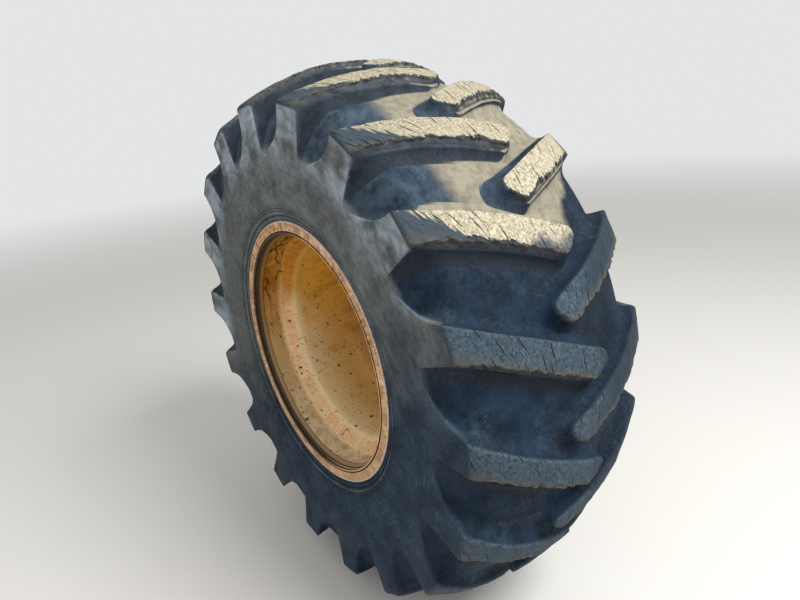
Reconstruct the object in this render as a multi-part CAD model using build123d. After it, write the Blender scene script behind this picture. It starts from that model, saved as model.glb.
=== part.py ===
from build123d import *
import math
import os

os.makedirs("parts", exist_ok=True)

# Forestry wheel: a lugged tyre on a deep drop-centre rim with a flat disc.
# The wheel turns about Y. Minus Y is the outer side and plus Y points to the machine.
# The origin is the centre of the hub face of the disc. Sizes are in millimetres.

# Rim sizes
bead_radius = 406.4
rim_width = 533.4
rim_wall = 10.0
flange_height = 40.6
flange_thickness = 33.0
flange_root_height = 27.0
flange_crest_width = 15.0
flange_ridge_height = 8.0
flange_ridge_width = 7.0
flange_groove_depth = 4.0
flange_edge_chamfer = 3.0
bead_seat_length = 70.0
bead_seat_rise = 3.0
well_depth = 48.4
outer_slope_run = 43.7
inner_slope_run = 33.7
rim_bend_radius = 12.0

# Disc sizes
hub_offset = 144.0
disc_thickness = 20.0
disc_fit_gap = 0.3
disc_weld_leg = 10.0
pilot_radius = 185.5
bolt_circle_radius = 212.725
bolt_hole_radius = 13.25
bolt_count = 12
disc_edge_chamfer = 2.0

# Tyre casing sizes
section_height = 494.6
section_width = 644.0
widest_height = 238.0
casing_shoulder_inset = 75.0
casing_flank_inset = 33.0
casing_flank_drop = 62.0
crown_wall = 34.0
sidewall_wall = 24.0
sidewall_bulge = 8.0
bead_width = 46.0
bead_height = 40.0
bead_top_width = 36.0
bead_gap = 0.3

# Tread sizes
tread_width = 660.0
crown_drop = 88.0
lug_depth = 45.0
lug_count = 18
lug_width = 81.0
lug_angle = 23.0
lug_draft = 15.0
lug_corner_lift = 18.0
lug_overlap = 72.0
lug_phase = -0.6
lug_sink = 12.0
lug_nose_cut = 20.0
buttress_foot_height = 250.0

# Valve sizes
valve_angle = -20.0
valve_stem_radius = 8.0
valve_hole_gap = 0.3
valve_stem_length = 50.0
valve_head_radius = 15.0
valve_head_thickness = 6.0
valve_nut_radius = 14.0
valve_nut_thickness = 9.0
valve_cap_radius = 9.5
valve_cap_length = 17.0
valve_cap_chamfer = 2.4
valve_thread_gap = 0.1

# Smallest distance by which two places count as apart
touch = 0.01

# Straight steps that stand for each round stretch of the tyre's section
sidewall_steps = 4
crown_steps = 6
lug_top_steps = 4
hidden_steps = 4

# Places worked out from the sizes
half_rim = rim_width / 2
half_lip = half_rim + flange_thickness
lip_radius = bead_radius + flange_height
seat_end = half_rim - bead_seat_length
outer_well_end = outer_slope_run - seat_end
inner_well_end = seat_end - inner_slope_run
barrel_inside = bead_radius - well_depth - rim_wall
outer_radius = bead_radius + section_height
floor_radius = outer_radius - lug_depth
corner_radius = outer_radius - crown_drop
half_tread = tread_width / 2
half_section = section_width / 2
pitch_angle = 360 / lug_count


def crown_radius(top, side):
    """Radius at an axial place on a crown arc whose top radius is given."""
    bend = (half_tread**2 + crown_drop**2) / (2 * crown_drop)
    return top - bend + math.sqrt(bend**2 - side**2)


def turned(face):
    """Solid of a section turned about the wheel axis, moved to the rim's middle plane."""
    return Pos(0, -hub_offset, 0) * revolve(face, Axis.Y, 360)


def section(points):
    """Closed face through (radius, side) points, where side is measured from the middle plane."""
    return make_face(Polyline(*points, close=True))


def arc(start, middle, end, steps):
    """Straight steps along the arc through three section points."""
    curve = ThreePointArc(start, middle, end)
    return Polyline(*[curve @ (step / steps) for step in range(steps + 1)])


def mirrored(wires):
    """Wires with their twins on the other side of the middle plane."""
    return wires + [mirror(wire, about=Plane.XZ) for wire in wires]


def bar_outline(half_width, nose, height):
    """Corners of a bar that lies along X, with a blunt nose, at a height."""
    tail = nose - bar_length
    return [
        (tail, -half_width, height),
        (nose - lug_nose_cut, -half_width, height),
        (nose, lug_nose_cut - half_width, height),
        (nose, half_width - lug_nose_cut, height),
        (nose - lug_nose_cut, half_width, height),
        (tail, half_width, height),
    ]


def drafted(lower, upper):
    """Solid with flat sides between two outlines that have the same corners."""
    sides = [make_face(Polyline(*outline, close=True)) for outline in (lower, upper)]
    for corner in range(len(lower)):
        follower = (corner + 1) % len(lower)
        edges = Polyline(lower[corner], lower[follower], upper[follower], upper[corner], close=True)
        sides.append(make_face(edges))
    return Solid(Shell(sides))


def around(solid, angle):
    """Copy turned about the wheel axis, from plus X towards plus Z."""
    return Rot(0, -angle, 0) * solid


# Rim base: bead seats, slopes and the deep well, in one wall thickness
seat_radius = bead_radius - bead_seat_rise
well_radius = bead_radius - well_depth
bends = []
slopes = [(-1, outer_well_end, outer_slope_run), (1, inner_well_end, inner_slope_run)]
for way, well_side, slope_run in slopes:
    seat_side = way * seat_end
    slope_tilt = math.atan2(seat_radius - well_radius, slope_run)
    shift = way * rim_wall * math.tan(slope_tilt / 2)
    bends.append((seat_radius, seat_side, shift, rim_bend_radius + rim_wall, rim_bend_radius))
    bends.append((well_radius, well_side, shift, rim_bend_radius, rim_bend_radius + rim_wall))
bends.sort(key=lambda bend: bend[1])
outside = [(bead_radius, -half_rim)] + [bend[:2] for bend in bends] + [(bead_radius, half_rim)]
inside = [(radius - rim_wall, side + shift) for radius, side, shift, _, _ in bends]
inside = [(bead_radius - rim_wall, -half_rim)] + inside + [(bead_radius - rim_wall, half_rim)]
rim_face = section(outside + inside[::-1])
for radius, side, shift, outer_round, inner_round in bends:
    half_turn = abs(shift) / rim_wall
    outer_corner = rim_face.vertices().sort_by_distance((radius, side, 0))[0]
    rim_face = chamfer(outer_corner, outer_round * half_turn)
    inner_corner = rim_face.vertices().sort_by_distance((radius - rim_wall, side + shift, 0))[0]
    rim_face = chamfer(inner_corner, inner_round * half_turn)
rim_base = turned(rim_face)

# Valve place: the middle of the outer slope, with local Z towards the open side of the rim
outer_tilt = math.atan2(seat_radius - well_radius, outer_slope_run)
slope_radius = (seat_radius + well_radius) / 2
slope_side = (outer_well_end - seat_end) / 2
on_slope = Pos(slope_radius, slope_side - hub_offset, 0) * Rot(0, 0, math.degrees(outer_tilt) + 180)
valve_frame = Rot(0, -valve_angle, 0) * on_slope * Rot(0, 90, 0)
hole_radius = valve_stem_radius + valve_hole_gap
rim_base -= valve_frame * Cylinder(hole_radius, 4 * rim_wall)

# Flange rings: a heavy lip outside the bead, a ridge inside it and a groove behind the ridge
ridge_radius = bead_radius - rim_wall + flange_ridge_height
flange_points = [
    (bead_radius - rim_wall, -half_rim),
    (bead_radius + flange_root_height, -half_rim),
    (lip_radius, -half_lip + flange_crest_width),
    (lip_radius, -half_lip),
    (ridge_radius, -half_lip),
    (ridge_radius, -half_lip + flange_ridge_width),
    (ridge_radius + flange_groove_depth, -half_lip + 2 * flange_ridge_width),
]
flange_face = section(flange_points)
front_corners = [v for v in flange_face.vertices() if v.Y < -half_lip + touch]
flange_face = chamfer(front_corners, flange_edge_chamfer)
outer_flange_ring = turned(flange_face)
inner_flange_ring = turned(mirror(flange_face, about=Plane.XZ))

# Disc with its pilot hole and bolt holes, hub face at the origin
disc = Cylinder(barrel_inside - disc_fit_gap, disc_thickness)
disc -= Cylinder(pilot_radius, 2 * disc_thickness)
disc -= PolarLocations(bolt_circle_radius, bolt_count) * Cylinder(bolt_hole_radius, 2 * disc_thickness)
round_edges = disc.edges().filter_by(GeomType.CIRCLE)
pilot_edges = [edge for edge in round_edges if abs(edge.radius - pilot_radius) < touch]
disc = chamfer(pilot_edges, disc_edge_chamfer)
disc = Rot(90, 0, 0) * Pos(0, 0, disc_thickness / 2) * disc

# Fillet welds where the disc meets the barrel, one on each face of the disc
weld_face = make_face(
    Polyline(
        (barrel_inside, 0),
        (barrel_inside, disc_weld_leg),
        (barrel_inside - disc_weld_leg, 0),
        close=True,
    )
)
inner_disc_weld = revolve(weld_face, Axis.Y, 360)
outer_disc_weld = Pos(0, -disc_thickness, 0) * mirror(inner_disc_weld, about=Plane.XZ)

# Casing outside, from the bead heel over the sidewall and the crown to the other bead
heel = (bead_radius + bead_gap, -half_rim + bead_gap)
flange_top = (bead_radius + flange_root_height, heel[1])
lip_back = (lip_radius + bead_gap, -half_lip + flange_crest_width)
lip_front = (lip_radius + 2 * bead_gap, -half_lip + flange_edge_chamfer)
widest_radius = bead_radius + widest_height
widest = (widest_radius, -half_section)
shoulder_side = half_tread - casing_shoulder_inset
shoulder_top = crown_radius(floor_radius, shoulder_side)
flank = (shoulder_top - casing_flank_drop, -half_tread + casing_flank_inset)
crown_top = (floor_radius, 0)
bulge_low = ((lip_front[0] + widest_radius) / 2, -(half_lip + half_section) / 2 - sidewall_bulge)
shoulder = (shoulder_top, -shoulder_side)
outside_edges = mirrored(
    [
        Polyline(heel, flange_top, lip_back, lip_front),
        arc(lip_front, bulge_low, widest, sidewall_steps),
        arc(widest, flank, shoulder, sidewall_steps),
    ]
) + [arc(shoulder, crown_top, (shoulder[0], -shoulder[1]), crown_steps)]

# Casing inside: the air space, closed by the rim
toe = (bead_radius + bead_gap, heel[1] + bead_width)
bead_top = (bead_radius + bead_height, heel[1] + bead_top_width)
inner_widest = (widest_radius, -half_section + sidewall_wall)
inner_shoulder = (flank[0], flank[1] + crown_wall)
inner_top = (floor_radius - crown_wall, 0)
inner_low = ((bead_top[0] + widest_radius) / 2, (bead_top[1] + inner_widest[1]) / 2 - sidewall_bulge)
inside_edges = mirrored(
    [
        Polyline(heel, toe, bead_top),
        arc(bead_top, inner_low, inner_widest, hidden_steps),
        Line(inner_widest, inner_shoulder),
    ]
) + [arc(inner_shoulder, inner_top, (inner_shoulder[0], -inner_shoulder[1]), hidden_steps)]
casing = turned(make_face(outside_edges + inside_edges))

# Space that one side's lugs fill: under the worn crown, out to the corner, down to the foot
draft_slope = math.tan(math.radians(lug_draft))
space_end = lug_overlap + (lug_depth + 2 * lug_sink) * draft_slope
mean_side = (space_end - half_tread) / 2
sunk_radius = floor_radius - lug_sink
top_line = [
    (corner_radius, -half_tread),
    (crown_radius(outer_radius, mean_side), mean_side),
    (crown_radius(outer_radius, space_end), space_end),
]
sunk_line = [
    (crown_radius(sunk_radius, space_end), space_end),
    (crown_radius(sunk_radius, mean_side), mean_side),
    (crown_radius(sunk_radius, shoulder_side), -shoulder_side + lug_sink),
]
foot_radius = bead_radius + buttress_foot_height
foot_line = [(foot_radius, -half_section + lug_sink), (foot_radius, -half_section)]
lug_space = make_face(
    [
        arc(*top_line, lug_top_steps),
        Line(top_line[-1], sunk_line[0]),
        arc(*sunk_line, hidden_steps),
        Polyline(sunk_line[-1], *foot_line, top_line[0]),
    ]
)

# One lug: a bar with a blunt nose, drafted on all sides, whose middle line crosses angle 0.
# It falls towards the shoulder with the crown, so that its top stays about as wide all along.
lug_rise = outer_radius - foot_radius
lug_spread = lug_rise * draft_slope
half_lug = lug_width / 2
bar_length = (half_tread + lug_overlap) / math.cos(math.radians(lug_angle)) + 2 * lug_spread + half_lug
lug_foot = bar_outline(half_lug + lug_spread, half_lug + lug_spread, -lug_rise)
lug_top = bar_outline(half_lug, half_lug, 0)
end_side = lug_overlap - half_lug
end_swing = end_side * math.tan(math.radians(lug_angle))
lug_fall = math.atan2(crown_drop - lug_corner_lift, half_tread)
end_radius = outer_radius + end_side * math.tan(lug_fall)
lug_plane = Plane(origin=(end_radius, -hub_offset, 0), x_dir=(0, 1, 0), z_dir=(1, 0, 0))
lug_tilt = Rot(0, -math.degrees(lug_fall), 0) * Rot(0, 0, -lug_angle)
lug_place = lug_plane.location * Pos(end_side, -end_swing, 0) * lug_tilt
lug_blank = lug_place * drafted(lug_foot, lug_top)
outer_lug = lug_blank & turned(lug_space)
middle_plane = Plane.XZ.offset(hub_offset)
inner_lug = mirror(outer_lug, about=middle_plane)

# Tyre: the casing with its lugs fused on, the two sides half a pitch apart
lugs = []
for count in range(lug_count):
    lug_turn = lug_phase + count * pitch_angle
    lugs.append(around(outer_lug, lug_turn + pitch_angle / 2))
    lugs.append(around(inner_lug, lug_turn))
tyre = casing.fuse(*lugs)

# Valve: a stem with its head inside the tyre, a nut on the rim and a cap on the end
upright = (Align.CENTER, Align.CENTER, Align.MIN)
valve_head = Cylinder(valve_head_radius, valve_head_thickness, align=upright)
valve_stem = Pos(0, 0, -valve_head_thickness) * valve_head
valve_stem += Cylinder(valve_stem_radius, valve_stem_length, align=upright)
valve_stem = valve_frame * valve_stem
nut_bore = valve_stem_radius + valve_thread_gap
nut_profile = RegularPolygon(valve_nut_radius, 6) - Circle(nut_bore)
valve_nut = extrude(nut_profile, amount=valve_nut_thickness)
valve_nut = valve_frame * Pos(0, 0, rim_wall + valve_hole_gap) * valve_nut
cap_start = valve_stem_length - valve_cap_length / 2
valve_cap = Cylinder(valve_cap_radius, valve_cap_length, align=upright)
valve_cap = chamfer(valve_cap.faces().sort_by(Axis.Z)[-1].edges(), valve_cap_chamfer)
valve_cap -= Cylinder(nut_bore, valve_cap_length / 2, align=upright)
valve_cap = valve_frame * Pos(0, 0, cap_start) * valve_cap

parts = {
    "tyre": tyre,
    "rim_base": rim_base,
    "outer_flange_ring": outer_flange_ring,
    "inner_flange_ring": inner_flange_ring,
    "disc": disc,
    "outer_disc_weld": outer_disc_weld,
    "inner_disc_weld": inner_disc_weld,
    "valve_stem": valve_stem,
    "valve_nut": valve_nut,
    "valve_cap": valve_cap,
}
for name, solid in parts.items():
    export_step(solid, f"parts/{name}.step")
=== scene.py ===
import math
from functools import partial

import bmesh
import bpy
import numpy as np
from mathutils import Matrix, Vector


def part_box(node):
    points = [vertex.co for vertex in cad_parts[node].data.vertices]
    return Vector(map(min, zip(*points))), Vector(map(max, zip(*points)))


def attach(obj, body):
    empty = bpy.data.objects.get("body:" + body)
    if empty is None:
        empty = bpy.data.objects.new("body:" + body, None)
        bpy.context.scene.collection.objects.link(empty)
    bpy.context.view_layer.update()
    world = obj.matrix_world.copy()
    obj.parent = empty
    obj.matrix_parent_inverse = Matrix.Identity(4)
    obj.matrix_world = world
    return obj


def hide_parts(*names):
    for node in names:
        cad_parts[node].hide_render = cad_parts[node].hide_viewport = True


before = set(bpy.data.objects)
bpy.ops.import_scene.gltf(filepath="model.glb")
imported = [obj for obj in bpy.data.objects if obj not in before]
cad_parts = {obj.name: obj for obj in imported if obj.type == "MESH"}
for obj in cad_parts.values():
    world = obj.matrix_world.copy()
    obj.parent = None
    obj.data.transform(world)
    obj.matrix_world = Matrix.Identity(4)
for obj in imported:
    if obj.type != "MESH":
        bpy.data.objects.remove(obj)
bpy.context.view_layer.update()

# A worn forestry wheel: a lugged tyre on a rusty drop-centre rim.
# The wheel turns about Y, minus Y is its outer side. Sizes are in millimetres.
MM = 0.001

# Sizes read from the frame
tyre_low, tyre_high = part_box("tyre")
ring_low, ring_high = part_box("outer_flange_ring")
disc_low, disc_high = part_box("disc")
hub_offset = -(tyre_low.y + tyre_high.y) / 2 / MM
half_tread = (tyre_high.y - tyre_low.y) / 2 / MM
outer_radius = (tyre_high.z - tyre_low.z) / 2 / MM - 0.5
lip_radius = (ring_high.z - ring_low.z) / 2 / MM
half_lip = -ring_low.y / MM - hub_offset
half_rim = -ring_high.y / MM - hub_offset

# Tread sizes
crown_drop = 88.0
lug_depth = 45.0
lug_count = 18
lug_width = 81.0
lug_angle = math.radians(23.0)
lug_draft = math.radians(15.0)
lug_overlap = 72.0
lug_phase = math.radians(-0.6)
lug_corner_round = 14.0
lug_edge_round = 6.0
lug_root_round = 34.0
soft_edge_round = 26.0
soft_lean = math.radians(24.0)
nose_fan = 34.0
nose_end = -24.0
nose_slant = math.radians(24.0)
nose_high_round = 21.0
nose_low_round = 38.0
foot_radius = 650.0
foot_side = 322.2
foot_flare = 81.0
foot_lean = 0.2
flare_power = 3.5
torn_back = 13.0
chip_depth = 6.0
chip_size = 24.0
wear_depth = 6.0
wear_size = 100.0
skirt = 0.6

# Casing sizes
casing_shoulder_side = 255.0
parting_side = 170.0
widest_radius = 644.4
widest_side = 322.0
crown_wall = 34.0
inner_shoulder_radius = 740.0
inner_shoulder_side = 265.0
sidewall_wall = 24.0
bead_radius = 406.7

# Rim sizes
rim_wall = 10.0
seat_length = 70.0
seat_radius = 403.4
well_radius = 358.0
outer_well_end = -153.0
inner_well_end = 163.0
outer_slope_run = 43.7
inner_slope_run = 33.7
bend_round = 12.0
ridge_radius = 404.4
disc_radius = 347.7
pilot_radius = 185.5
bolt_circle_radius = 212.725
bolt_hole_radius = 13.25
bolt_count = 12

# Weld sizes
weld_radius = 344.5
weld_thickness = 6.8
weld_sink = 1.5
weld_ripples = 400
ripple_height = 1.1

# Valve sizes
valve_angle = math.radians(-20.0)
valve_slope = math.atan2(45.4, outer_slope_run)
valve_place = (380.7, -174.85)
nut_half_width = 12.0
thread_pitch = 1.0
thread_depth = 0.55
knurl_count = 28
knurl_depth = 0.35

# Steps of the meshes
lug_line_gap = 5.6
corner_lines = 28
foot_lines = 30
nose_lines = 27
crown_steps = 28
lug_crown_steps = 56
tyre_columns = 300
rim_columns = 360

pitch = 2 * math.pi / lug_count
half_lug = lug_width / 2
nose_side = half_lug - lug_overlap
lean = math.tan(lug_angle)


def crown(top, side):
    """Radius at an axial place on the worn crown whose top radius is given."""
    bend = (half_tread**2 + crown_drop**2) / (2 * crown_drop)
    return top - bend + np.sqrt(bend**2 - np.square(side))


corner_radius = crown(outer_radius, half_tread)


def smooth(value, low, high):
    """Soft step from 0 at low to 1 at high."""
    share = np.clip((np.asarray(value, float) - low) / (high - low), 0, 1)
    return share * share * (3 - 2 * share)


def arc(start, middle, end, steps):
    """Points on the circle through three section points."""
    (ax, ay), (bx, by), (cx, cy) = start, middle, end
    d = 2 * (ax * (by - cy) + bx * (cy - ay) + cx * (ay - by))
    a2, b2, c2 = ax * ax + ay * ay, bx * bx + by * by, cx * cx + cy * cy
    ux = (a2 * (by - cy) + b2 * (cy - ay) + c2 * (ay - by)) / d
    uy = (a2 * (cx - bx) + b2 * (ax - cx) + c2 * (bx - ax)) / d
    first, mid, last = (math.atan2(y - uy, x - ux) for x, y in (start, middle, end))
    turn = (last - first) % (2 * math.pi)
    if (mid - first) % (2 * math.pi) > turn:
        turn -= 2 * math.pi
    angles = first + turn * np.linspace(0, 1, steps + 1)
    radius = math.hypot(ax - ux, ay - uy)
    return np.column_stack([ux + radius * np.cos(angles), uy + radius * np.sin(angles)])


def bezier(a, b, c, d, steps):
    """Points on a cubic curve."""
    t = np.linspace(0, 1, steps + 1)[:, None]
    a, b, c, d = (np.array(p, float) for p in (a, b, c, d))
    return (1 - t) ** 3 * a + 3 * (1 - t) ** 2 * t * b + 3 * (1 - t) * t**2 * c + t**3 * d


def rounded(corners, steps):
    """Outline from (x, y, rounding) corners, each cut by an arc."""
    outline = []
    for number, (x, y, rounding) in enumerate(corners):
        corner = np.array([x, y], float)
        before = np.array(corners[number - 1][:2], float) - corner
        after = np.array(corners[(number + 1) % len(corners)][:2], float) - corner
        before_length, after_length = np.linalg.norm(before), np.linalg.norm(after)
        before, after = before / before_length, after / after_length
        half = math.acos(np.clip(before @ after, -1, 1)) / 2
        if rounding <= 0 or half > math.radians(89.5):
            outline.append(corner)
            continue
        reach = min(rounding / math.tan(half), 0.49 * before_length, 0.49 * after_length)
        radius = reach * math.tan(half)
        middle = (before + after) / np.linalg.norm(before + after)
        centre = corner + middle * radius / math.sin(half)
        top = centre - middle * radius
        outline.extend(arc(corner + before * reach, top, corner + after * reach, steps))
    return np.array(outline)


def gone(points):
    """Distance gone along a line of points, at each point."""
    return np.concatenate([[0], np.cumsum(np.linalg.norm(np.diff(points, axis=0), axis=1))])


def along_line(points, wanted):
    """Points at the wanted distances along a line of points."""
    place = gone(points)
    return np.column_stack([np.interp(wanted, place, column) for column in points.T])


def quads(numbers, rows_close=False, columns_close=True):
    """Faces between the neighbours in a grid of point numbers, which may close on itself."""
    numbers = np.pad(numbers, ((0, int(rows_close)), (0, int(columns_close))), "wrap")
    sides = (numbers[:-1, :-1], numbers[1:, :-1], numbers[1:, 1:], numbers[:-1, 1:])
    return np.stack(sides, axis=-1).reshape(-1, 4).tolist()


def mesh_object(name, points, faces, layers=None):
    """Object with a mesh from points in millimetres and values for each point."""
    mesh = bpy.data.meshes.new(name)
    mesh.from_pydata((np.asarray(points) * MM).tolist(), [], faces)
    for layer, values in (layers or {}).items():
        held = mesh.attributes.new(layer, "FLOAT", "POINT")
        held.data.foreach_set("value", np.asarray(values, np.float32))
    mesh.update()
    mesh.shade_smooth()
    obj = bpy.data.objects.new(name, mesh)
    bpy.context.scene.collection.objects.link(obj)
    return obj


def face_outward(obj):
    """Welds the doubles of a closed mesh and turns its faces outward."""
    work = bmesh.new()
    work.from_mesh(obj.data)
    bmesh.ops.remove_doubles(work, verts=work.verts, dist=0.00002)
    bmesh.ops.recalc_face_normals(work, faces=work.faces)
    if work.calc_volume(signed=True) < 0:
        bmesh.ops.reverse_faces(work, faces=work.faces)
    work.to_mesh(obj.data)
    work.free()


def turned(name, section, columns):
    """Ring from a closed (radius, side) section turned about the wheel axis."""
    section = np.asarray(section, float)
    radius, side = section.T
    follow = np.roll(section, -1, axis=0)
    area = np.sum(radius * follow[:, 1] - follow[:, 0] * side)
    if area > 0:
        radius, side = radius[::-1], side[::-1]
    angles = np.arange(columns) * 2 * math.pi / columns
    grid = np.empty((columns, len(radius), 3))
    grid[..., 0] = np.cos(angles)[:, None] * radius
    grid[..., 1] = side - hub_offset
    grid[..., 2] = np.sin(angles)[:, None] * radius
    numbers = np.arange(columns * len(radius)).reshape(columns, len(radius))
    obj = mesh_object(name, grid.reshape(-1, 3), quads(numbers, rows_close=True))
    obj.data.set_sharp_from_angle(angle=math.radians(40))
    return obj


# Nodes

usual = {"MapRange": {"interpolation_type": "SMOOTHSTEP"}, "Mix": {"data_type": "RGBA"}}


def link(tree, source, socket):
    """Gives a socket a plain value, another socket's, or that of a node's first output in use. A soft
    step is written (value, from, to), from 0 to 1, or (value, from, to, low, high)."""
    if isinstance(source, tuple) and not isinstance(source[0], (int, float)):
        source = put(tree, "MapRange", source)
    if isinstance(source, bpy.types.Node):
        source = next(output for output in source.outputs if output.enabled)
    if isinstance(source, bpy.types.NodeSocket):
        tree.links.new(source, socket)
    else:
        socket.default_value = source


def put(tree, kind, given=(), **settings):
    """Adds a node. Its kind may end in its operation. What it is given goes to its inputs by name, or
    in turn to those in use."""
    kind, _, operation = kind.partition(" ")
    starts = ("GeometryNode", "ShaderNode", "Node")
    node = tree.nodes.new(next(start + kind for start in starts if hasattr(bpy.types, start + kind)))
    settings = {**usual.get(kind, {}), **({"operation": operation} if operation else {}), **settings}
    for name, value in settings.items():
        setattr(node, name, value)
    if isinstance(given, dict):
        sockets = [node.inputs[name] for name in given]
        given = given.values()
    else:
        sockets = [socket for socket in node.inputs if socket.enabled]
    for source, socket in zip(given, sockets):
        link(tree, source, socket)
    return node


def paint(code):
    """Linear colour from an sRGB hex value."""
    parts = [int(code[place:place + 2], 16) / 255 for place in (1, 3, 5)]
    linear = [p / 12.92 if p <= 0.04045 else ((p + 0.055) / 1.055) ** 2.4 for p in parts]
    return (*linear, 1.0)


def new_material(name):
    """Material with an empty tree, its surface shader and its output."""
    material = bpy.data.materials.new(name)
    material.use_nodes = True
    tree = material.node_tree
    tree.nodes.clear()
    shader = put(tree, "BsdfPrincipled")
    put(tree, "OutputMaterial", [shader])
    return material, tree, shader


def wheel_places(tree):
    """Object coordinates, radius from the wheel axis, distance from the middle plane, height above the
    axis, all in metres, and the direction away from the axis."""
    spot = put(tree, "TexCoord").outputs["Object"]
    x, y, z = put(tree, "SeparateXYZ", [spot]).outputs
    flat = put(tree, "CombineXYZ", [x, 0, z])
    radius = put(tree, "VectorMath LENGTH", [flat])
    side = put(tree, "Math ADD", [y, hub_offset * MM])
    return spot, radius, side, z, put(tree, "VectorMath NORMALIZE", [flat])


def patches(tree, place, size, low, high, detail=4.0, stretch=(1, 1, 1)):
    """Share of a surface under uneven patches about size millimetres across, with soft borders."""
    scale = tuple(part / (size * MM) for part in stretch)
    scaled = put(tree, "Mapping", {"Vector": place, "Scale": scale})
    uneven = put(tree, "TexNoise", [scaled, 1.0, detail, 0.6])
    return (uneven, low, high)


def outlines(tree, place, size, width, detail=2.0):
    """Share for thin winding lines, the borders of patches about size millimetres across."""
    scaled = put(tree, "Mapping", {"Vector": place, "Scale": (1 / (size * MM),) * 3})
    off = put(tree, "Math SUBTRACT", [put(tree, "TexNoise", [scaled, 1.0, detail]), 0.5])
    away = put(tree, "Math ABSOLUTE", [off])
    return (away, 0.3 * width, width, 1.0, 0.0)


def slits(tree, lane, gap, length, width):
    """Share for narrow slits that taper to both ends and lie along the lane's second axis."""
    cell = (gap * MM, 1.5 * length * MM)
    scaled = put(tree, "Mapping", {"Vector": lane, "Scale": (1 / cell[0], 1 / cell[1], 1.0)})
    nearest = put(tree, "TexVoronoi", [scaled, 1.0], voronoi_dimensions="2D").outputs["Position"]
    apart = put(tree, "VectorMath ABSOLUTE", [put(tree, "VectorMath SUBTRACT", [scaled, nearest])])
    across, along, _ = put(tree, "SeparateXYZ", [apart]).outputs
    open_share = (along, 0.0, 0.33, 0.5 * width / gap, 0.0)
    inside = put(tree, "Math SUBTRACT", [open_share, across])
    return (inside, 0.0, 0.15 * width / gap)


def zone(tree, value, start, end, fade):
    """Share that is 1 between two levels of a value and fades out beyond them."""
    return meet(tree, (value, start - fade, start), (value, end, end + fade, 1.0, 0.0))


def meet(tree, *shares):
    """Share of the surface where all the shares meet."""
    meeting = shares[0]
    for share in shares[1:]:
        meeting = put(tree, "Math MULTIPLY", [meeting, share])
    return meeting


def coats(tree, base, *over):
    """Colour built up in coats: each (colour, share, ...) lies where its shares meet."""
    colour = paint(base) if isinstance(base, str) else base
    for coat, *shares in over:
        coat = paint(coat) if isinstance(coat, str) else coat
        colour = put(tree, "Mix", [meet(tree, *shares), colour, coat])
    return colour


def dress(tree, shader, colour, share, least, most):
    """Gives a shader its colour, and a roughness that follows a share between two levels."""
    link(tree, colour, shader.inputs["Base Color"])
    link(tree, (share, 0, 1, least, most), shader.inputs["Roughness"])


def emboss(tree, shader, depth, *parts):
    """Bump of the given depth in millimetres from (height share, weight) parts."""
    height = 0.0
    for share, weight in parts:
        height = put(tree, "Math MULTIPLY_ADD", [share, weight, height])
    bump = put(tree, "Bump", {"Height": height, "Distance": depth * MM})
    link(tree, bump, shader.inputs["Normal"])


# Materials

# Painted sunlight: what faces the sun, which comes from behind on the machine's side, is painted pale
# like lit dust on the higher part of the tyre; below a level the machine's shade is painted
painted_sun_way = (0.40, 0.75, 0.52)
sunlit_height = 0.43


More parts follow.
